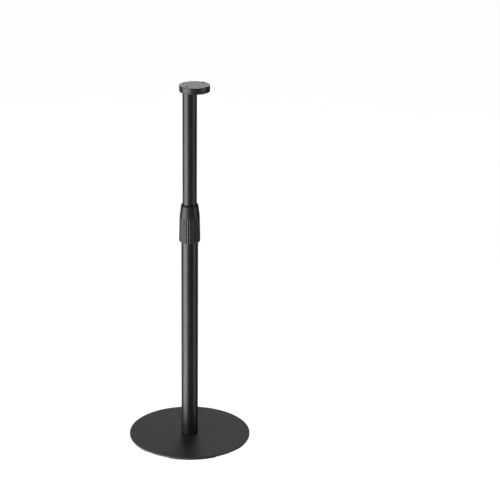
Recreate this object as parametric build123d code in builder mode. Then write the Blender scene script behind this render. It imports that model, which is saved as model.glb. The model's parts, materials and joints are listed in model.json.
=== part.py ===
"""Height-adjustable speaker stand: a round weighted base, a two-stage column with a twist-lock
collar, and an off-centre round head plate.

Millimetres, +Z up. The origin is on the floor, on the column's axis. The head plate's centre lies
on the +Y side of the column.
"""

import os
from math import cos, radians, sin, sqrt

from build123d import *

# Fits between neighbouring pieces
press_gap = 0.04
running_gap = 0.08
free_gap = 0.3

# Base
base_radius = 140.0
plate_thickness = 4.0
plate_edge_round = 0.7
foot_plug_height = 22.0
base_screw_ring = 10.5
base_screw_count = 3
base_screw_length = 16.0

# Rubber pads: arcs under the plate's rim
pad_height = 2.0
pad_count = 5
pad_arc = 47.0
pad_first_angle = -42.0
pad_inner_radius = 120.0
pad_outer_radius = 138.5

# Column tubes
tube_wall = 1.5
lower_tube_radius = 19.0
lower_tube_top = 526.0
upper_tube_radius = 16.0
upper_tube_bottom = 300.0

# How far the upper column rises from its stored height before its bush meets the clamp sleeve
travel_up = 180.0

# Guide bush on the foot of the upper tube
bush_lip = 2.0
bush_top_gap = 0.5
bush_rivet_z = 324.0

# Twist-lock collar, from its bottom edge up to its lip
collar_bottom = 479.0
collar_skirt_z = 481.5
collar_shoulder_z = 538.0
collar_top = 563.0
collar_bottom_radius = 23.2
collar_skirt_radius = 24.0
collar_shoulder_radius = 22.7
collar_lip_radius = 19.6
collar_mouth_radius = 19.4
collar_mouth_top = 483.0
flute_count = 27
flute_first_angle = -48.3
flute_radius = 4.0
flute_depth = 0.7
flute_top = 541.0

# The collar's bores, from the thread up to the seat of the wiper ring
thread_bore_radius = 20.5
thread_bore_top = 535.0
wedge_bore_radius = 19.9
wedge_bore_z = 545.0
wedge_stop_radius = 18.4
wedge_stop_z = 558.0
throat_radius = 16.6
wiper_seat_z = 561.0
wiper_bore_radius = 17.8
wiper_top = 565.8
wiper_lip_radius = 19.2
wiper_edge_round = 0.8

# Clamp sleeve on the lower tube, with a coarse thread drawn as rings
sleeve_bottom = 487.0
sleeve_top = 534.0
sleeve_radius = 20.2
thread_first_z = 492.0
thread_pitch = 6.0
thread_turns = 5
thread_land = 2.4
thread_height = 0.5
sleeve_pin_z = 522.0
sleeve_pin_count = 3
pin_radius = 1.6
rivet_head_radius = 2.8
rivet_head_height = 1.0

# Collet and wedge ring
collet_top = 553.0
collet_base_radius = 19.2
collet_taper = 0.09
collet_slit = 3.0
wedge_bottom = 540.0

# Head
head_radius = 34.0
head_offset = 15.0
head_top = 836.0
head_bottom = 822.0
head_edge_round = 0.8
head_top_wall = 5.0
head_skirt_wall = 3.0
head_rib = 2.0
cover_thickness = 2.0
cover_screw_ring = 26.0
cover_screw_angles = (45.0, 135.0, -20.0, 200.0)
cover_screw_length = 7.0
cover_boss_radius = 3.2
fixing_screw_y = -8.0
fixing_screw_length = 20.0
speaker_hole_y = head_offset + 28.0
speaker_hole_radius = 3.3
speaker_bush_radius = 4.4
speaker_boss_radius = 6.0
speaker_screw_head_radius = 5.8
top_plug_height = 26.0
plug_pin_y = 7.0
plug_pin_radius = 1.5

# Countersunk socket screws: M6 in the base and head, 2.5 mm in the head's cover
m6_radius = 3.0
m6_head_radius = 5.8
m6_socket = 4.0
small_radius = 1.25
small_head_radius = 2.4
small_socket = 1.6
screw_recess = 0.2
tapped_gap = 0.05

plate_bottom = pad_height
plate_top = plate_bottom + plate_thickness
lower_bore = lower_tube_radius - tube_wall
upper_bore = upper_tube_radius - tube_wall
boss_radius = head_radius - head_offset
cover_top = head_bottom + cover_thickness
socket_roof = head_top - head_top_wall
plug_pin_z = (cover_top + socket_roof) / 2
bush_top = lower_tube_top - travel_up - bush_top_gap
bush_radius = lower_bore - running_gap
collet_bottom = sleeve_top + running_gap
cover_screw_spots = [
    (cover_screw_ring * cos(radians(a)), head_offset + cover_screw_ring * sin(radians(a)))
    for a in cover_screw_angles
]

os.makedirs("parts", exist_ok=True)


def save(part, name):
    """Label a finished piece and write its STEP file."""
    part.label = name
    export_step(part, f"parts/{name}.step")


def half_section(*points):
    """Closed face in the XZ plane through (radius, height) points, ready to revolve about Z."""
    with BuildSketch(Plane.XZ) as section:
        with BuildLine():
            Polyline(*points, close=True)
        make_face()
    return section.sketch


def tube_section(outer, inner, bottom, top):
    """Half section of a plain tube."""
    return half_section((inner, bottom), (outer, bottom), (outer, top), (inner, top))


def countersunk_screw(radius, head_radius, length, socket):
    """A 90 degree countersunk socket screw, its head face at the origin and its point up."""
    head_height = head_radius - radius
    with BuildPart() as screw:
        section = half_section(
            (0, 0), (head_radius, 0), (radius, head_height), (radius, length), (0, length)
        )
        revolve(section, axis=Axis.Z)
        with BuildSketch():
            RegularPolygon(socket / 2, 6, major_radius=False)
        extrude(amount=head_height * 0.8, mode=Mode.SUBTRACT)
    return screw.part


def radial_pin(radius, start, end, head=False):
    """A pin lying along +X from start to end, with a flat head at its inner end if asked."""
    with BuildPart() as pin:
        with BuildSketch(Plane.YZ.offset(start)):
            Circle(radius)
        extrude(amount=end - start)
        if head:
            with BuildSketch(Plane.YZ.offset(start)):
                Circle(rivet_head_radius)
            extrude(amount=rivet_head_height)
    return pin.part


def thread_band(turn, gap):
    """Bottom and top of one thread ring, widened by gap."""
    bottom = thread_first_z + turn * thread_pitch
    return bottom - gap, bottom + thread_land + gap


def collet_radius(z):
    """Outer radius of the collet's cone at a height."""
    return collet_base_radius - collet_taper * (z - collet_bottom)


m6_long = countersunk_screw(m6_radius, m6_head_radius, fixing_screw_length, m6_socket)
m6_short = countersunk_screw(m6_radius, m6_head_radius, base_screw_length, m6_socket)
small_screw = countersunk_screw(small_radius, small_head_radius, cover_screw_length, small_socket)

# --- Base ------------------------------------------------------------------------------------

plate_underside = Plane((0, 0, plate_bottom), x_dir=(1, 0, 0), z_dir=(0, 0, -1))

with BuildPart() as base_plate:
    with BuildSketch(Plane.XY.offset(plate_bottom)):
        Circle(base_radius)
    extrude(amount=plate_thickness)
    fillet(base_plate.edges(), radius=plate_edge_round)
    with Locations(plate_underside):
        with PolarLocations(base_screw_ring, base_screw_count):
            CounterSinkHole(
                m6_radius + free_gap, m6_head_radius + free_gap, plate_thickness, counter_sink_angle=90
            )
save(base_plate.part, "base_plate")

with BuildPart() as foot_pads:
    with BuildSketch():
        with BuildLine():
            inner_arc = CenterArc((0, 0), pad_inner_radius, -pad_arc / 2, pad_arc)
            outer_arc = CenterArc((0, 0), pad_outer_radius, -pad_arc / 2, pad_arc)
            Line(inner_arc @ 0, outer_arc @ 0)
            Line(inner_arc @ 1, outer_arc @ 1)
        pad_face = make_face(mode=Mode.PRIVATE)
        with PolarLocations(0, pad_count, pad_first_angle):
            add(pad_face)
    extrude(amount=pad_height)
save(foot_pads.part, "foot_pads")

with BuildPart() as tube_foot_plug:
    with BuildSketch(Plane.XY.offset(plate_top)):
        Circle(lower_bore - press_gap)
        with PolarLocations(base_screw_ring, base_screw_count):
            Circle(m6_radius + tapped_gap, mode=Mode.SUBTRACT)
    extrude(amount=foot_plug_height)
save(tube_foot_plug.part, "tube_foot_plug")

with BuildPart() as base_screws:
    with Locations((0, 0, plate_bottom + screw_recess)):
        with PolarLocations(base_screw_ring, base_screw_count):
            add(m6_short)
save(base_screws.part, "base_screws")

# --- Lower column ----------------------------------------------------------------------------

sleeve_pin_hole = radial_pin(pin_radius + press_gap, 0, 2 * lower_tube_radius)

with BuildPart() as lower_tube:
    section = tube_section(lower_tube_radius, lower_bore, plate_top, lower_tube_top)
    revolve(section, axis=Axis.Z)
    with Locations((0, 0, sleeve_pin_z)):
        with PolarLocations(0, sleeve_pin_count):
            add(sleeve_pin_hole, mode=Mode.SUBTRACT)
save(lower_tube.part, "lower_tube")

with BuildPart() as clamp_sleeve:
    section = half_section(
        (lower_tube_radius + press_gap, sleeve_bottom),
        (sleeve_radius, sleeve_bottom),
        (sleeve_radius, sleeve_top),
        (upper_tube_radius + free_gap, sleeve_top),
        (upper_tube_radius + free_gap, lower_tube_top),
        (lower_tube_radius + press_gap, lower_tube_top),
    )
    revolve(section, axis=Axis.Z)
    for turn in range(thread_turns):
        ring_bottom, ring_top = thread_band(turn, 0)
        section = tube_section(
            sleeve_radius + thread_height, lower_tube_radius + press_gap, ring_bottom, ring_top
        )
        revolve(section, axis=Axis.Z)
    with Locations((0, 0, sleeve_pin_z)):
        with PolarLocations(0, sleeve_pin_count):
            add(sleeve_pin_hole, mode=Mode.SUBTRACT)
save(clamp_sleeve.part, "clamp_sleeve")

sleeve_pin = radial_pin(pin_radius, lower_bore + running_gap, sleeve_radius - running_gap)

with BuildPart() as sleeve_pins:
    with Locations((0, 0, sleeve_pin_z)):
        with PolarLocations(0, sleeve_pin_count):
            add(sleeve_pin)
save(sleeve_pins.part, "sleeve_pins")

# --- Twist-lock collar -----------------------------------------------------------------------

cutter_radius_low = collar_skirt_radius + flute_radius - flute_depth
cutter_radius_high = collar_shoulder_radius + flute_radius - flute_depth
cutter_start = Vector(cutter_radius_low, 0, collar_skirt_z)
cutter_end = Vector(cutter_radius_high, 0, flute_top)
cutter_run = cutter_end - cutter_start

with BuildPart() as flute_cutter:
    with BuildSketch(Plane(cutter_start, z_dir=cutter_run)):
        Circle(flute_radius)
    extrude(amount=cutter_run.length)
    extrude(flute_cutter.faces().sort_by(Axis.Z)[0], amount=2 * (collar_skirt_z - collar_bottom))
    with Locations(cutter_end):
        Sphere(flute_radius)

with BuildPart() as locking_collar:
    section = half_section(
        (collar_mouth_radius, collar_bottom),
        (collar_bottom_radius, collar_bottom),
        (collar_skirt_radius, collar_skirt_z),
        (collar_shoulder_radius, collar_shoulder_z),
        (collar_lip_radius, collar_top),
        (wiper_bore_radius, collar_top),
        (wiper_bore_radius, wiper_seat_z),
        (throat_radius, wiper_seat_z),
        (throat_radius, wedge_stop_z),
        (wedge_stop_radius, wedge_stop_z),
        (wedge_bore_radius, wedge_bore_z),
        (wedge_bore_radius, thread_bore_top),
        (thread_bore_radius, thread_bore_top),
        (thread_bore_radius, collar_mouth_top),
        (collar_mouth_radius, collar_mouth_top),
    )
    revolve(section, axis=Axis.Z)
    for turn in range(thread_turns):
        groove_bottom, groove_top = thread_band(turn, free_gap)
        groove_radius = sleeve_radius + thread_height + free_gap
        section = half_section(
            (thread_bore_radius - free_gap, groove_bottom),
            (groove_radius, groove_bottom),
            (groove_radius, groove_top),
            (thread_bore_radius - free_gap, groove_top),
        )
        revolve(section, axis=Axis.Z, mode=Mode.SUBTRACT)
    with PolarLocations(0, flute_count, flute_first_angle):
        add(flute_cutter.part, mode=Mode.SUBTRACT)
save(locking_collar.part, "locking_collar")

with BuildPart() as wedge_ring:
    section = half_section(
        (wedge_bore_radius - press_gap, wedge_bottom),
        (wedge_bore_radius - press_gap, wedge_bore_z),
        (wedge_stop_radius - press_gap, wedge_stop_z),
        (collet_radius(wedge_stop_z) + free_gap, wedge_stop_z),
        (collet_radius(wedge_bottom) + free_gap, wedge_bottom),
    )
    revolve(section, axis=Axis.Z)
save(wedge_ring.part, "wedge_ring")

with BuildPart() as wiper_ring:
    section = half_section(
        (upper_tube_radius + running_gap, wiper_seat_z),
        (wiper_bore_radius - press_gap, wiper_seat_z),
        (wiper_bore_radius - press_gap, collar_top),
        (wiper_lip_radius, collar_top),
        (wiper_lip_radius, wiper_top),
        (upper_tube_radius + running_gap, wiper_top),
    )
    revolve(section, axis=Axis.Z)
    fillet(wiper_ring.edges().group_by(Axis.Z)[-1].sort_by(SortBy.RADIUS)[-1], radius=wiper_edge_round)
save(wiper_ring.part, "wiper_ring")

with BuildPart() as collet:
    section = half_section(
        (upper_tube_radius + running_gap, collet_bottom),
        (collet_base_radius, collet_bottom),
        (collet_radius(collet_top), collet_top),
        (upper_tube_radius + running_gap, collet_top),
    )
    revolve(section, axis=Axis.Z)
    with BuildSketch(Plane.XY.offset(collet_bottom)):
        with Locations((upper_tube_radius, 0)):
            Rectangle(upper_tube_radius, collet_slit)
    extrude(amount=collet_top - collet_bottom, mode=Mode.SUBTRACT)
save(collet.part, "collet")

# --- Upper column ----------------------------------------------------------------------------

bush_rivet_hole = radial_pin(pin_radius + press_gap, 0, 2 * upper_tube_radius)
pin_half_length = sqrt(upper_tube_radius**2 - (plug_pin_y + plug_pin_radius) ** 2)
pin_plane = Plane((-pin_half_length, plug_pin_y, plug_pin_z), z_dir=(1, 0, 0))

with BuildPart() as upper_tube:
    section = tube_section(upper_tube_radius, upper_bore, upper_tube_bottom, socket_roof)
    revolve(section, axis=Axis.Z)
    with Locations((0, 0, bush_rivet_z)):
        with PolarLocations(0, 2):
            add(bush_rivet_hole, mode=Mode.SUBTRACT)
    with BuildSketch(pin_plane.offset(-upper_tube_radius)):
        Circle(plug_pin_radius + press_gap)
    extrude(amount=4 * upper_tube_radius, mode=Mode.SUBTRACT)
save(upper_tube.part, "upper_tube")

with BuildPart() as guide_bush:
    section = half_section(
        (upper_bore, upper_tube_bottom - bush_lip),
        (bush_radius, upper_tube_bottom - bush_lip),
        (bush_radius, bush_top),
        (upper_tube_radius + press_gap, bush_top),
        (upper_tube_radius + press_gap, upper_tube_bottom),
        (upper_bore, upper_tube_bottom),
    )
    revolve(section, axis=Axis.Z)
    with Locations((0, 0, bush_rivet_z)):
        with PolarLocations(0, 2):
            add(bush_rivet_hole, mode=Mode.SUBTRACT)
save(guide_bush.part, "guide_bush")

rivet_start = sqrt(upper_bore**2 - rivet_head_radius**2) - rivet_head_height - running_gap
bush_rivet = radial_pin(pin_radius, rivet_start, bush_radius - running_gap, head=True)

with BuildPart() as bush_rivets:
    with Locations((0, 0, bush_rivet_z)):
        with PolarLocations(0, 2):
            add(bush_rivet)
save(bush_rivets.part, "bush_rivets")

with BuildPart() as tube_top_plug:
    with BuildSketch(Plane.XY.offset(socket_roof - top_plug_height)):
        Circle(upper_bore - press_gap)
        with Locations((0, fixing_screw_y)):
            Circle(m6_radius + tapped_gap, mode=Mode.SUBTRACT)
    extrude(amount=top_plug_height)
    with BuildSketch(pin_plane.offset(-upper_tube_radius)):
        Circle(plug_pin_radius + press_gap)
    extrude(amount=4 * upper_tube_radius, mode=Mode.SUBTRACT)
save(tube_top_plug.part, "tube_top_plug")

with BuildPart() as plug_pin:
    with BuildSketch(pin_plane):
        Circle(plug_pin_radius)
        Circle(plug_pin_radius / 2, mode=Mode.SUBTRACT)
    extrude(amount=2 * pin_half_length)
save(plug_pin.part, "plug_pin")

# --- Head ------------------------------------------------------------------------------------

with BuildPart() as head_body:
    with BuildSketch(Plane.XY.offset(cover_top)):
        with Locations((0, head_offset)):
            Circle(head_radius)
    extrude(amount=head_top - cover_top)
    fillet(head_body.edges().group_by(Axis.Z)[-1], radius=head_edge_round)
    with BuildSketch(Plane.XY.offset(cover_top)):
        with Locations((0, head_offset)):
            Circle(head_radius - head_skirt_wall)
            Rectangle(2 * head_radius, head_rib, mode=Mode.SUBTRACT)
        Circle(boss_radius, mode=Mode.SUBTRACT)
        with Locations((0, speaker_hole_y)):
            Circle(speaker_boss_radius, mode=Mode.SUBTRACT)
        with Locations(*cover_screw_spots):
            Circle(cover_boss_radius, mode=Mode.SUBTRACT)
    extrude(amount=socket_roof - cover_top, mode=Mode.SUBTRACT)
    with BuildSketch(Plane.XY.offset(cover_top)):
        Circle(upper_tube_radius + press_gap)
        with Locations(*cover_screw_spots):
            Circle(small_radius + tapped_gap)
    extrude(amount=socket_roof - cover_top, mode=Mode.SUBTRACT)
    with Locations((0, fixing_screw_y, head_top)):
        CounterSinkHole(
            m6_radius + free_gap, m6_head_radius + free_gap, head_top_wall, counter_sink_angle=90
        )
    with Locations((0, speaker_hole_y, head_top)):
        Hole(speaker_bush_radius + press_gap)
save(head_body.part, "head_body")

with BuildPart() as speaker_screw_bush:
    section = tube_section(speaker_bush_radius, speaker_hole_radius, cover_top, head_top - screw_recess)
    revolve(section, axis=Axis.Z)
speaker_screw_bush.part.position = (0, speaker_hole_y, 0)
save(speaker_screw_bush.part, "speaker_screw_bush")

with BuildPart() as head_cover:
    with BuildSketch(Plane.XY.offset(head_bottom)):
        with Locations((0, head_offset)):
            Circle(head_radius)
        Circle(upper_tube_radius + free_gap, mode=Mode.SUBTRACT)
        with Locations((0, speaker_hole_y)):
            Circle(speaker_screw_head_radius, mode=Mode.SUBTRACT)
    extrude(amount=cover_thickness)
    fillet(head_cover.edges().group_by(Axis.Z)[0].sort_by(SortBy.RADIUS)[-1], radius=head_edge_round)
    with Locations(Plane((0, 0, head_bottom), x_dir=(1, 0, 0), z_dir=(0, 0, -1))):
        with Locations(*[(x, -y) for x, y in cover_screw_spots]):
            CounterSinkHole(
                small_radius + tapped_gap,
                small_head_radius + tapped_gap,
                cover_thickness,
                counter_sink_angle=90,
            )
save(head_cover.part, "head_cover")

with BuildPart() as head_cover_screws:
    with Locations(*[(x, y, head_bottom + tapped_gap) for x, y in cover_screw_spots]):
        add(small_screw)
save(head_cover_screws.part, "head_cover_screws")

with BuildPart() as head_fixing_screw:
    with Locations(Plane((0, fixing_screw_y, head_top - screw_recess), z_dir=(0, 0, -1))):
        add(m6_long)
save(head_fixing_screw.part, "head_fixing_screw")
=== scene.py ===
"""Looks of a height-adjustable speaker stand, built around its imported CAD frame. Metres, +Z up."""

import json
import math

import bmesh
import bpy
from mathutils import Matrix, Vector


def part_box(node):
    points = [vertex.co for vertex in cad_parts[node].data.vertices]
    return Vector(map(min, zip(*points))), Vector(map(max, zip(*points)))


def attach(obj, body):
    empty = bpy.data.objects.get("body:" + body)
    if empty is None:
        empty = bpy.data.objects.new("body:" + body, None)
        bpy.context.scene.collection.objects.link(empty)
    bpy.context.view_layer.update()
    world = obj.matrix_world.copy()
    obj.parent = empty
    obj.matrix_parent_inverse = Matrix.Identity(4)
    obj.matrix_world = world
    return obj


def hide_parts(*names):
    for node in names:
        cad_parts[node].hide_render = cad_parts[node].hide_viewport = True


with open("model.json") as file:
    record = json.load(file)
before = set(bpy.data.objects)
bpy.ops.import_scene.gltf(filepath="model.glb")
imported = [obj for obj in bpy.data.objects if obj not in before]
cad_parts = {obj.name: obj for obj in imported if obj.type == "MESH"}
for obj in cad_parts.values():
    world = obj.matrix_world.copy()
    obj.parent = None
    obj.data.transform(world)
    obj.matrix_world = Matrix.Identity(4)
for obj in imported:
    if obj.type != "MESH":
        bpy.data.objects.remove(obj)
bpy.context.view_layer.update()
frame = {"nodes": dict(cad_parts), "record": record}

MM = 0.001
FULL_TURN = 2 * math.pi

# --- Sizes read from the frame ---------------------------------------------------------------

plate_low, plate_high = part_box("base_plate")
collar_low, collar_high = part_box("locking_collar")
wiper_low, wiper_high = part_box("wiper_ring")
head_low, head_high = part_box("head_body")
cover_low, cover_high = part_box("head_cover")
pads_low, pads_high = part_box("foot_pads")

PLATE_RADIUS = plate_high.x
LOWER_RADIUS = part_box("lower_tube")[1].x
UPPER_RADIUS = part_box("upper_tube")[1].x
HEAD_RADIUS = head_high.x
HEAD_CENTRE = (0, (head_low.y + head_high.y) / 2)
SPEAKER_HOLE = (0, HEAD_CENTRE[1] + 28 * MM)
FIXING_SCREW = (0, -8 * MM)

# --- Camera ----------------------------------------------------------------------------------

CAMERA_AZIMUTH = math.radians(45)
CAMERA_PITCH = math.radians(20.757)
CAMERA_DISTANCE = 3.798
CAMERA_HEIGHT = 1.812
FOCAL_MM = 128.84
SENSOR_MM = 36.0
SHIFT_X = 0.1206
SHIFT_Y = 0.07
CLIP_END = 50


def around(azimuth, distance, height):
    """The point at a distance from the column's axis, at an azimuth from -Y towards +X."""
    return (distance * math.sin(azimuth), -distance * math.cos(azimuth), height)


def make_camera():
    data = bpy.data.cameras.new("camera")
    data.lens = FOCAL_MM
    data.sensor_width = SENSOR_MM
    data.shift_x = SHIFT_X
    data.shift_y = SHIFT_Y
    data.clip_end = CLIP_END
    camera = bpy.data.objects.new("camera", data)
    camera.location = around(CAMERA_AZIMUTH, CAMERA_DISTANCE, CAMERA_HEIGHT)
    camera.rotation_euler = (math.radians(90) - CAMERA_PITCH, 0, CAMERA_AZIMUTH)
    bpy.context.scene.collection.objects.link(camera)
    bpy.context.scene.camera = camera


# --- Mesh helpers ----------------------------------------------------------------------------

ARC_STEPS = 6
SUPPORT = 0.15 * MM
SHARP_ANGLE = math.radians(35)
HOLE_STEPS = 64
WIDE_STEPS = 128
TUBE_STEPS = 192
HEAD_STEPS = 256
PLATE_STEPS = 360
MERGE_GAP = 1e-6


def rounded(points, radii):
    """A closed (radius, height) outline with each corner replaced by an arc of its own radius.

    A point close to each end of an arc keeps the shading of the flat beside it flat.
    """
    outline = []
    count = len(points)
    for i, (corner, radius) in enumerate(zip(points, radii)):
        here = Vector(corner)
        back = (Vector(points[i - 1]) - here).normalized()
        ahead = (Vector(points[(i + 1) % count]) - here).normalized()
        if radius == 0:
            outline.append(here)
            continue
        half_turn = back.angle(ahead) / 2
        reach = radius / math.tan(half_turn)
        centre = here + (back + ahead).normalized() * (radius / math.sin(half_turn))
        start = here + back * reach
        end = here + ahead * reach
        outline.append(start + back * SUPPORT)
        spoke, last = start - centre, end - centre
        turn = spoke.angle_signed(last)
        for step in range(ARC_STEPS + 1):
            angle = -turn * step / ARC_STEPS
            outline.append(centre + Matrix.Rotation(angle, 2) @ spoke)
        outline.append(end + ahead * SUPPORT)
    return outline


def subdivided(outline, longest):
    """The same closed outline with no step longer than longest."""
    fine = []
    for i, here in enumerate(outline):
        ahead = outline[(i + 1) % len(outline)]
        steps = max(1, math.ceil((ahead - here).length / longest))
        fine += [here.lerp(ahead, step / steps) for step in range(steps)]
    return fine


def shade(mesh):
    """Smooth shading, sharp where two faces meet at more than the sharp angle."""
    mesh.polygons.foreach_set("use_smooth", [True] * len(mesh.polygons))
    mesh.set_sharp_from_angle(angle=SHARP_ANGLE)


def new_object(name, bm):
    bmesh.ops.recalc_face_normals(bm, faces=bm.faces)
    mesh = bpy.data.meshes.new(name)
    bm.to_mesh(mesh)
    bm.free()
    shade(mesh)
    piece = bpy.data.objects.new(name, mesh)
    bpy.context.scene.collection.objects.link(piece)
    return piece


def join_loops(bm, loops, closed=False):
    """Quads between each loop of vertices and the next, and back to the first if closed."""
    pairs = list(zip(loops, loops[1:]))
    if closed:
        pairs.append((loops[-1], loops[0]))
    for near, far in pairs:
        for i in range(len(near)):
            j = (i + 1) % len(near)
            bm.faces.new((near[i], far[i], far[j], near[j]))


def lathe(name, outline, segments=TUBE_STEPS, centre=(0.0, 0.0), shape=None):
    """A closed ring or disc: the closed outline of (radius, height) points turned about Z.

    shape(radius, height, angle), if given, returns the radius to use there.
    """
    bm = bmesh.new()
    columns = []
    for s in range(segments):
        angle = FULL_TURN * s / segments
        column = []
        for r, z in outline:
            if shape:
                r = shape(r, z, angle)
            x, y = centre[0] + r * math.cos(angle), centre[1] + r * math.sin(angle)
            column.append(bm.verts.new((x, y, z)))
        columns.append(column)
    join_loops(bm, columns, closed=True)
    bmesh.ops.remove_doubles(bm, verts=bm.verts, dist=MERGE_GAP)
    return new_object(name, bm)


def post(name, spot, radius, low, high, segments=HOLE_STEPS):
    """A plain upright closed cylinder, for cutting with."""
    # Placed through vectors and a turn, because plain coordinates left six open edges in the head
    start, end = Vector((*spot, low)), Vector((*spot, high))
    spin = (end - start).to_track_quat("Z", "Y").to_matrix().to_4x4()
    place = Matrix.Translation((start + end) / 2) @ spin
    bm = bmesh.new()
    bmesh.ops.create_cone(
        bm, cap_ends=True, segments=segments, radius1=radius, radius2=radius,
        depth=(end - start).length, matrix=place,
    )
    return new_object(name, bm)


M6_CLEARANCE = 3.3 * MM
M6_SINK = 6.1 * MM


def countersink(spot, face, into, depth):
    """A cutter for a 90 degree countersunk hole that opens at height face; into is 1 up, -1 down."""
    bm = bmesh.new()
    beyond = 1 * MM
    rings = [(M6_SINK + beyond, -beyond), (M6_CLEARANCE, M6_SINK - M6_CLEARANCE), (M6_CLEARANCE, depth)]
    turns = [FULL_TURN * i / HOLE_STEPS for i in range(HOLE_STEPS)]
    loops = [
        [
            bm.verts.new((spot[0] + r * math.cos(t), spot[1] + r * math.sin(t), face + into * z))
            for t in turns
        ]
        for r, z in rings
    ]
    join_loops(bm, loops)
    bm.faces.new(loops[0])
    bm.faces.new(loops[-1])
    return new_object("countersink", bm)


def cut(piece, cutters):
    """Cut the cutters out of the piece and remove them."""
    for cutter in cutters:
        modifier = piece.modifiers.new("cut", "BOOLEAN")
        modifier.operation = "DIFFERENCE"
        modifier.solver = "EXACT"
        modifier.object = cutter
    bpy.context.view_layer.update()
    graph = bpy.context.evaluated_depsgraph_get()
    mesh = bpy.data.meshes.new_from_object(piece.evaluated_get(graph))
    piece.modifiers.clear()
    piece.data = mesh
    shade(mesh)
    for cutter in cutters:
        bpy.data.objects.remove(cutter)
    return piece


# --- Materials -------------------------------------------------------------------------------


class Nodes:
    """A short way to write a material's node tree."""

    def __init__(self, name):
        self.material = bpy.data.materials.new(name)
        self.material.use_nodes = True
        self.tree = self.material.node_tree
        self.shader = self.tree.nodes["Principled BSDF"]
        self.coords = self.tree.nodes.new("ShaderNodeTexCoord").outputs["Object"]

    def add(self, kind, values=(), links=()):
        node = self.tree.nodes.new(kind)
        for key, value in dict(values).items():
            if key in node.inputs:
                node.inputs[key].default_value = value
            else:
                setattr(node, key, value)
        for key, source in dict(links).items():
            self.tree.links.new(source, node.inputs[key])
        return node

    def noise(self, size, detail, stretch=(1, 1, 1), roughness=0.5):
        """Noise whose grains are about size metres across."""
        scaled = self.add("ShaderNodeMapping", {"Scale": stretch}, {"Vector": self.coords})
        node = self.add(
            "ShaderNodeTexNoise",
            {"Scale": 1 / size, "Detail": detail, "Roughness": roughness},
            {"Vector": scaled.outputs["Vector"]},
        )
        return node.outputs["Fac"]

    def spread(self, noise, low_value, high_value, low=0.3, high=0.7):
        """The noise's usual range, low to high, stretched over the two values."""
        node = self.add(
            "ShaderNodeMapRange",
            {"From Min": low, "From Max": high, "To Min": low_value, "To Max": high_value},
            {"Value": noise},
        )
        return node.outputs["Result"]

    def colour(self, noise, dark, light, **limits):
        node = self.add(
            "ShaderNodeMix", {"data_type": "RGBA"}, {"Factor": self.spread(noise, 0, 1, **limits)}
        )
        node.inputs["A"].default_value = (*dark, 1)
        node.inputs["B"].default_value = (*light, 1)
        return node.outputs[2]

    def bump(self, height, strength, distance, under=None):
        links = {"Height": height}
        if under is not None:
            links["Normal"] = under
        node = self.add("ShaderNodeBump", {"Strength": strength, "Distance": distance}, links)
        return node.outputs["Normal"]

    def finish(self, values, colour, rough, normal):
        for key, value in values.items():
            self.shader.inputs[key].default_value = value
        for key, source in {"Base Color": colour, "Roughness": rough, "Normal": normal}.items():
            self.tree.links.new(source, self.shader.inputs[key])
        return self.material


def powder_coat(name, grain_depth, rough_low, rough_high, ior):
    """Black powder coat: fine orange peel with a finer sandy grain over it."""
    n = Nodes(name)
    peel = n.bump(n.noise(1.6 * MM, 2), 0.25, 0.05 * MM)
    grain = n.bump(n.noise(0.45 * MM, 2), 0.35, grain_depth, peel)
    colour = n.colour(n.noise(60 * MM, 4), (0.004, 0.004, 0.0044), (0.007, 0.007, 0.0075))
    rough = n.spread(n.noise(9 * MM, 5), rough_low, rough_high)
    return n.finish({"IOR": ior}, colour, rough, grain)


def moulded_plastic():
    """Black moulded plastic with a fine spark-eroded skin, for the collar."""
    n = Nodes("black_moulded_plastic")
    skin = n.bump(n.noise(0.35 * MM, 3, roughness=0.7), 0.4, 0.05 * MM)
    flow = n.noise(14 * MM, 3, stretch=(1, 1, 0.3))
    colour = n.colour(flow, (0.006, 0.006, 0.0064), (0.009, 0.009, 0.0095))
    rough = n.spread(n.noise(5 * MM, 4), 0.36, 0.44)
    return n.finish({"IOR": 1.41}, colour, rough, skin)


def satin_plastic():
    """Smoother black plastic of the head plate, with faint moulding waves and rubbed patches."""
    n = Nodes("black_satin_plastic")
    waves = n.bump(n.noise(7 * MM, 2), 0.1, 0.1 * MM)
    skin = n.bump(n.noise(0.3 * MM, 3, roughness=0.6), 0.2, 0.04 * MM, waves)
    colour = n.colour(n.noise(18 * MM, 3), (0.007, 0.007, 0.0074), (0.011, 0.011, 0.0115))
    rough = n.spread(n.noise(6 * MM, 4), 0.36, 0.42)
    return n.finish({"IOR": 1.44}, colour, rough, skin)


def rubber():
    """Dull black rubber with a faint bloom."""
    n = Nodes("black_rubber")
    skin = n.bump(n.noise(0.6 * MM, 4), 0.5, 0.08 * MM)
    bloom = n.noise(12 * MM, 5)
    colour = n.colour(bloom, (0.004, 0.004, 0.004), (0.009, 0.009, 0.009), low=0.35, high=0.75)
    rough = n.spread(n.noise(4 * MM, 4), 0.72, 0.9)
    return n.finish({"IOR": 1.33}, colour, rough, skin)


def acetal():
    """Natural acetal: waxy off-white with faint moulding swirls."""
    n = Nodes("acetal")
    swirl = n.noise(8 * MM, 4, stretch=(1, 1, 0.4))
    colour = n.colour(swirl, (0.70, 0.69, 0.64), (0.78, 0.77, 0.73))
    skin = n.bump(n.noise(0.5 * MM, 3), 0.2, 0.04 * MM)
    rough = n.spread(n.noise(3 * MM, 3), 0.33, 0.42)
    glow = {"IOR": 1.48, "Subsurface Weight": 0.15, "Subsurface Scale": 0.002}
    return n.finish(glow, colour, rough, skin)


def metal(name, dark, light, rough_low, rough_high):
    """Bare or oxidised metal with fine lathe lines round Z and a patchy surface."""
    n = Nodes(name)
    lines = n.noise(0.25 * MM, 4, stretch=(0.02, 0.02, 1), roughness=0.6)
    patches = n.noise(3 * MM, 5)
    colour = n.colour(patches, dark, light)
    rough = n.spread(patches, rough_low, rough_high)
    return n.finish({"Metallic": 1.0}, colour, rough, n.bump(lines, 0.3, 0.02 * MM))


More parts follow.
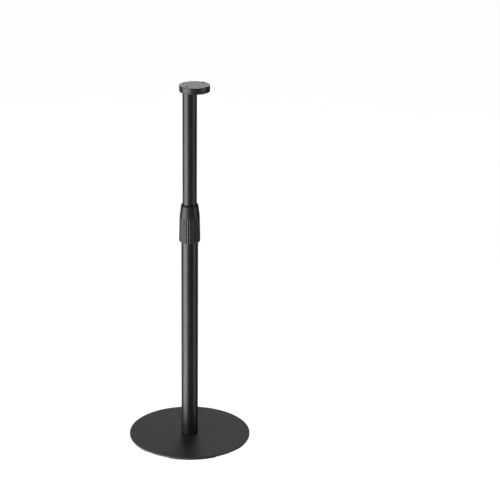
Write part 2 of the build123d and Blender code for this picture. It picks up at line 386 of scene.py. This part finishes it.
MATERIALS = {
    "black_powder_coat": powder_coat("black_powder_coat", 0.04 * MM, 0.36, 0.42, 1.47),
    "black_textured_coat": powder_coat("black_textured_coat", 0.06 * MM, 0.57, 0.63, 1.62),
    "black_moulded_plastic": moulded_plastic(),
    "black_satin_plastic": satin_plastic(),
    "black_rubber": rubber(),
    "acetal": acetal(),
    "plain_steel": metal("plain_steel", (0.42, 0.42, 0.43), (0.56, 0.56, 0.57), 0.28, 0.4),
    "aluminium": metal("aluminium", (0.62, 0.62, 0.63), (0.72, 0.72, 0.73), 0.3, 0.42),
    "black_screw_steel": metal("black_screw_steel", (0.025, 0.025, 0.027), (0.05, 0.05, 0.052), 0.35, 0.5),
}
SLOT_OF = {s["node"]: s["material_slot"] for s in frame["record"]["subparts"]}
BODY_OF = {n: b for b, nodes in frame["record"]["behaviour"]["bodies"].items() for n in nodes}


def paint_cad_nodes():
    """Every CAD node that still shows takes its slot's material."""
    for node, piece in frame["nodes"].items():
        for holder in piece.material_slots:
            holder.material = MATERIALS[SLOT_OF[node]]


def finish_piece(piece, node):
    """The piece stands for a CAD node: it rides on that node's body and takes its finish."""
    piece.data.materials.clear()
    piece.data.materials.append(MATERIALS[SLOT_OF[node]])
    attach(piece, BODY_OF[node])
    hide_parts(node)


# --- Base ------------------------------------------------------------------------------------


def make_base_plate():
    edge, screw_ring, screw_count, deep = 0.7 * MM, 10.5 * MM, 3, 8 * MM
    low, high = plate_low.z, plate_high.z
    outline = rounded(
        [(0, low), (PLATE_RADIUS, low), (PLATE_RADIUS, high), (0, high)], [0, edge, edge, 0]
    )
    plate = lathe("base_plate_disc", outline, segments=PLATE_STEPS)
    turns = [FULL_TURN * i / screw_count for i in range(screw_count)]
    spots = [(screw_ring * math.cos(t), screw_ring * math.sin(t)) for t in turns]
    cut(plate, [countersink(spot, low, 1, deep) for spot in spots])
    finish_piece(plate, "base_plate")


PAD_COUNT = 5
PAD_ARC = math.radians(47)
PAD_FIRST = math.radians(-42)
PAD_INNER, PAD_OUTER = 120 * MM, 138.5 * MM
PAD_EDGE, PAD_CORNER = 0.45 * MM, 4 * MM
PAD_STEPS = 72


def pad_section(angle, from_end):
    """The points of a pad's rounded section at an angle, narrower within a corner's reach of an end."""
    middle, half = (PAD_INNER + PAD_OUTER) / 2, (PAD_OUTER - PAD_INNER) / 2
    short = max(0, PAD_CORNER - from_end)
    width = half - PAD_CORNER + math.sqrt(PAD_CORNER**2 - short**2)
    inner, outer = middle - width, middle + width
    low, high = pads_low.z, pads_high.z
    section = rounded([(inner, low), (outer, low), (outer, high), (inner, high)], [PAD_EDGE] * 4)
    return [(r * math.cos(angle), r * math.sin(angle), z) for r, z in section]


def make_foot_pads():
    """Rubber arcs with rounded edges and rounded ends, in one piece."""
    step_angle = PAD_ARC / PAD_STEPS
    step_length = step_angle * (PAD_INNER + PAD_OUTER) / 2
    bm = bmesh.new()
    for pad in range(PAD_COUNT):
        start = PAD_FIRST + FULL_TURN * pad / PAD_COUNT - PAD_ARC / 2
        loops = []
        for s in range(PAD_STEPS + 1):
            from_end = min(s, PAD_STEPS - s) * step_length
            loops.append([bm.verts.new(p) for p in pad_section(start + s * step_angle, from_end)])
        join_loops(bm, loops)
        bm.faces.new(loops[0])
        bm.faces.new(loops[-1])
    finish_piece(new_object("foot_pads_moulded", bm), "foot_pads")


# --- Column ----------------------------------------------------------------------------------

TUBE_WALL = 1.5 * MM
WIPER_BORE = 16.08 * MM
WIPER_SEAT = 17.76 * MM


def make_tube(name, node, radius, foot_edge):
    low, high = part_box(node)
    bore = radius - TUBE_WALL
    outline = rounded(
        [(bore, low.z), (radius, low.z), (radius, high.z), (bore, high.z)],
        [foot_edge / 2, foot_edge, 0.3 * MM, 0.2 * MM],
    )
    finish_piece(lathe(name, outline), node)


def collar_outline():
    """The collar's section without flutes: outside from the bottom up, then its bores downwards."""
    low, high = collar_low.z, collar_high.z
    skirt, shoulder, lip = 24.0 * MM, 22.7 * MM, 19.6 * MM
    mouth, thread, wedge, stop = 19.4 * MM, 20.5 * MM, 19.9 * MM, 18.4 * MM
    throat, seat = 16.6 * MM, 17.8 * MM
    seat_z, stop_z, wedge_top, wedge_foot = (high - depth * MM for depth in (2, 5, 18, 28))
    mouth_z, skirt_z = low + 4 * MM, low + 2.5 * MM
    corners = [
        ((mouth, low), 0.3), ((skirt - 0.8 * MM, low), 0.4), ((skirt, skirt_z), 0.8),
        ((shoulder, low + FLUTE_SHOULDER), 60), ((lip, high), 0.6),
        ((seat, high), 0.1), ((seat, seat_z), 0.1), ((throat, seat_z), 0.1),
        ((throat, stop_z), 0), ((stop, stop_z), 0), ((wedge, wedge_top), 0), ((wedge, wedge_foot), 0),
        ((thread, wedge_foot), 0), ((thread, mouth_z), 0), ((mouth, mouth_z), 0),
    ]
    points, radii = zip(*corners)
    return rounded(points, [radius * MM for radius in radii])


FLUTES = 27
FLUTE_PHASE = math.radians(-48.3)
FLUTE_DEPTH = 0.7 * MM
FLUTE_SHOULDER = 59 * MM
FLUTE_TOP = collar_low.z + FLUTE_SHOULDER + 4 * MM
FLUTE_FADE = 9 * MM
FLUTE_STEPS = 16
OUTSIDE = 21 * MM
LONGEST_STEP = 1.5 * MM


def fluted(radius, z, angle):
    """The collar's radius with its flutes, which start softly below their top."""
    if radius < OUTSIDE or z > FLUTE_TOP:
        return radius
    start = min(1, (FLUTE_TOP - z) / FLUTE_FADE)
    groove = 0.5 + 0.5 * math.cos(FLUTES * (angle - FLUTE_PHASE))
    return radius - FLUTE_DEPTH * groove * start * start * (3 - 2 * start)


def make_collar():
    """Twist-lock collar: smooth cone above, soft-ended flutes down to its bottom edge."""
    outline = subdivided(collar_outline(), LONGEST_STEP)
    collar = lathe("locking_collar_fluted", outline, segments=FLUTES * FLUTE_STEPS, shape=fluted)
    finish_piece(collar, "locking_collar")


def make_wiper_ring():
    low, high = wiper_low.z, wiper_high.z
    lip, ledge = wiper_high.x, collar_high.z
    outline = rounded(
        [
            (WIPER_BORE, low), (WIPER_SEAT, low), (WIPER_SEAT, ledge),
            (lip, ledge), (lip, high), (WIPER_BORE, high),
        ],
        [0.2 * MM, 0.2 * MM, 0, 0.3 * MM, 1.1 * MM, 0.5 * MM],
    )
    finish_piece(lathe("wiper_ring_lipped", outline), "wiper_ring")


# --- Head ------------------------------------------------------------------------------------

OUTER_EDGE = 0.8 * MM
JOINT_EDGE = 0.25 * MM
COVER_SCREW_RING = 26 * MM
COVER_SCREW_ANGLES = (45, 135, -20, 200)
COVER_SCREW_SPOTS = [
    (
        HEAD_CENTRE[0] + COVER_SCREW_RING * math.cos(math.radians(a)),
        HEAD_CENTRE[1] + COVER_SCREW_RING * math.sin(math.radians(a)),
    )
    for a in COVER_SCREW_ANGLES
]


def head_disc(name, low, high, low_edge, high_edge):
    outline = rounded(
        [(0, low), (HEAD_RADIUS, low), (HEAD_RADIUS, high), (0, high)], [0, low_edge, high_edge, 0]
    )
    return lathe(name, outline, segments=HEAD_STEPS, centre=HEAD_CENTRE)


def make_head():
    """Head body: round top with a soft edge, hollow below, bosses for the tube and the screws."""
    low, high = head_low.z, head_high.z
    top_wall, skirt_wall = 5 * MM, 3 * MM
    column_boss, speaker_boss, cover_boss = 19 * MM, 6 * MM, 3.2 * MM
    socket_gap, bush_hole, screw_depth = 0.04 * MM, 4.44 * MM, 8 * MM
    roof, below = high - top_wall, low - MM
    head = head_disc("head_body_moulded", low, high, JOINT_EDGE, OUTER_EDGE)
    pocket = post("pocket", HEAD_CENTRE, HEAD_RADIUS - skirt_wall, below, roof, WIDE_STEPS)
    bosses = [post("boss", (0, 0), column_boss, below - MM, roof + MM, WIDE_STEPS)]
    bosses.append(post("boss", SPEAKER_HOLE, speaker_boss, below - MM, roof + MM))
    bosses += [post("boss", spot, cover_boss, below - MM, roof + MM) for spot in COVER_SCREW_SPOTS]
    cut(pocket, bosses)
    cut(head, [
        pocket,
        post("socket", (0, 0), UPPER_RADIUS + socket_gap, below, roof, WIDE_STEPS),
        post("bush_hole", SPEAKER_HOLE, bush_hole, below, high + MM),
        countersink(FIXING_SCREW, high, -1, screw_depth),
    ])
    finish_piece(head, "head_body")


def make_head_cover():
    low, high = cover_low.z, cover_high.z
    tube_gap, speaker_hole, sink, floor_left = 0.3 * MM, 5.8 * MM, 2.45 * MM, 0.4 * MM
    cover = head_disc("head_cover_moulded", low, high, OUTER_EDGE, JOINT_EDGE)
    cutters = [
        post("tube_hole", (0, 0), UPPER_RADIUS + tube_gap, low - MM, high + MM, WIDE_STEPS),
        post("screw_head_hole", SPEAKER_HOLE, speaker_hole, low - MM, high + MM),
    ]
    cutters += [post("sink", spot, sink, low - MM, high - floor_left) for spot in COVER_SCREW_SPOTS]
    finish_piece(cut(cover, cutters), "head_cover")


# --- Floor and light -------------------------------------------------------------------------

FLOOR_REACH = 30


def make_floor():
    """A pale, evenly bright floor, which reflections and the lights pass through."""
    bm = bmesh.new()
    bmesh.ops.create_grid(bm, x_segments=1, y_segments=1, size=FLOOR_REACH)
    floor = new_object("floor", bm)
    n = Nodes("pale_floor")
    for key, value in {
        "Base Color": (0.3, 0.3, 0.3, 1), "Roughness": 0.9, "Specular IOR Level": 0.0,
        "Emission Color": (1, 1, 1, 1), "Emission Strength": 0.95,
    }.items():
        n.shader.inputs[key].default_value = value
    floor.data.materials.append(n.material)
    floor.visible_glossy = False
    floor.visible_shadow = False


def panel_light(name, width, height, radiance):
    """A rectangular light, facing down until it is turned, that the camera doesn't see."""
    data = bpy.data.lights.new(name, "AREA")
    data.shape = "RECTANGLE"
    data.size, data.size_y = width, height
    data.energy = radiance * math.pi * width * height
    light = bpy.data.objects.new(name, data)
    light.visible_camera = False
    bpy.context.scene.collection.objects.link(light)
    return light


def softbox(name, azimuth, distance, width, bottom, top, radiance):
    """An upright light facing the column; azimuth is from the camera's side, + to its right."""
    light = panel_light(name, width, top - bottom, radiance)
    angle = CAMERA_AZIMUTH + math.radians(azimuth)
    light.location = around(angle, distance, (bottom + top) / 2)
    light.rotation_euler = (math.radians(90), 0, angle)


NEAR, FAR = 2.2, 28.0
OVERHEAD, OVERHEAD_WIDTH = 3.4, 2.6
WORLD_AS_LIGHT, WORLD_AS_SEEN = 0.02, 1.0


def make_lights():
    """Near softboxes that reach below the floor, two far glows, and a weak light overhead."""
    # Name, azimuth, distance, width, bottom, top, radiance
    softbox("key_softbox", -64, NEAR, 2.4, -4.0, 0.9, 7.0)
    softbox("fill_softbox", 72, NEAR, 1.35, -2.6, 1.6, 1.5)
    softbox("rim_softbox", -155, NEAR, 0.9, -2.6, 0.45, 1.0)
    softbox("backdrop", 172, FAR, 18.0, 0.0, 8.6, 3.8)
    softbox("front_glow", -6, FAR, 22.0, 3.5, 11.0, 1.4)
    panel_light("overhead_softbox", OVERHEAD_WIDTH, OVERHEAD_WIDTH, 0.7).location = (0, 0, OVERHEAD)


def make_world():
    """White where the camera sees it, almost dark as a light."""
    world = bpy.data.worlds.new("studio")
    world.use_nodes = True
    tree = world.node_tree
    background = tree.nodes["Background"]
    background.inputs["Color"].default_value = (1, 1, 1, 1)
    ray = tree.nodes.new("ShaderNodeLightPath")
    strength = tree.nodes.new("ShaderNodeMapRange")
    strength.inputs["To Min"].default_value = WORLD_AS_LIGHT
    strength.inputs["To Max"].default_value = WORLD_AS_SEEN
    tree.links.new(ray.outputs["Is Camera Ray"], strength.inputs["Value"])
    tree.links.new(strength.outputs["Result"], background.inputs["Strength"])
    bpy.context.scene.world = world


bpy.context.scene.view_settings.view_transform = "Standard"
make_camera()
make_floor()
make_lights()
make_world()
paint_cad_nodes()
make_base_plate()
make_foot_pads()
make_tube("lower_tube_drawn", "lower_tube", LOWER_RADIUS, 0.5 * MM)
make_tube("upper_tube_drawn", "upper_tube", UPPER_RADIUS, 0.3 * MM)
make_collar()
make_wiper_ring()
make_head()
make_head_cover()
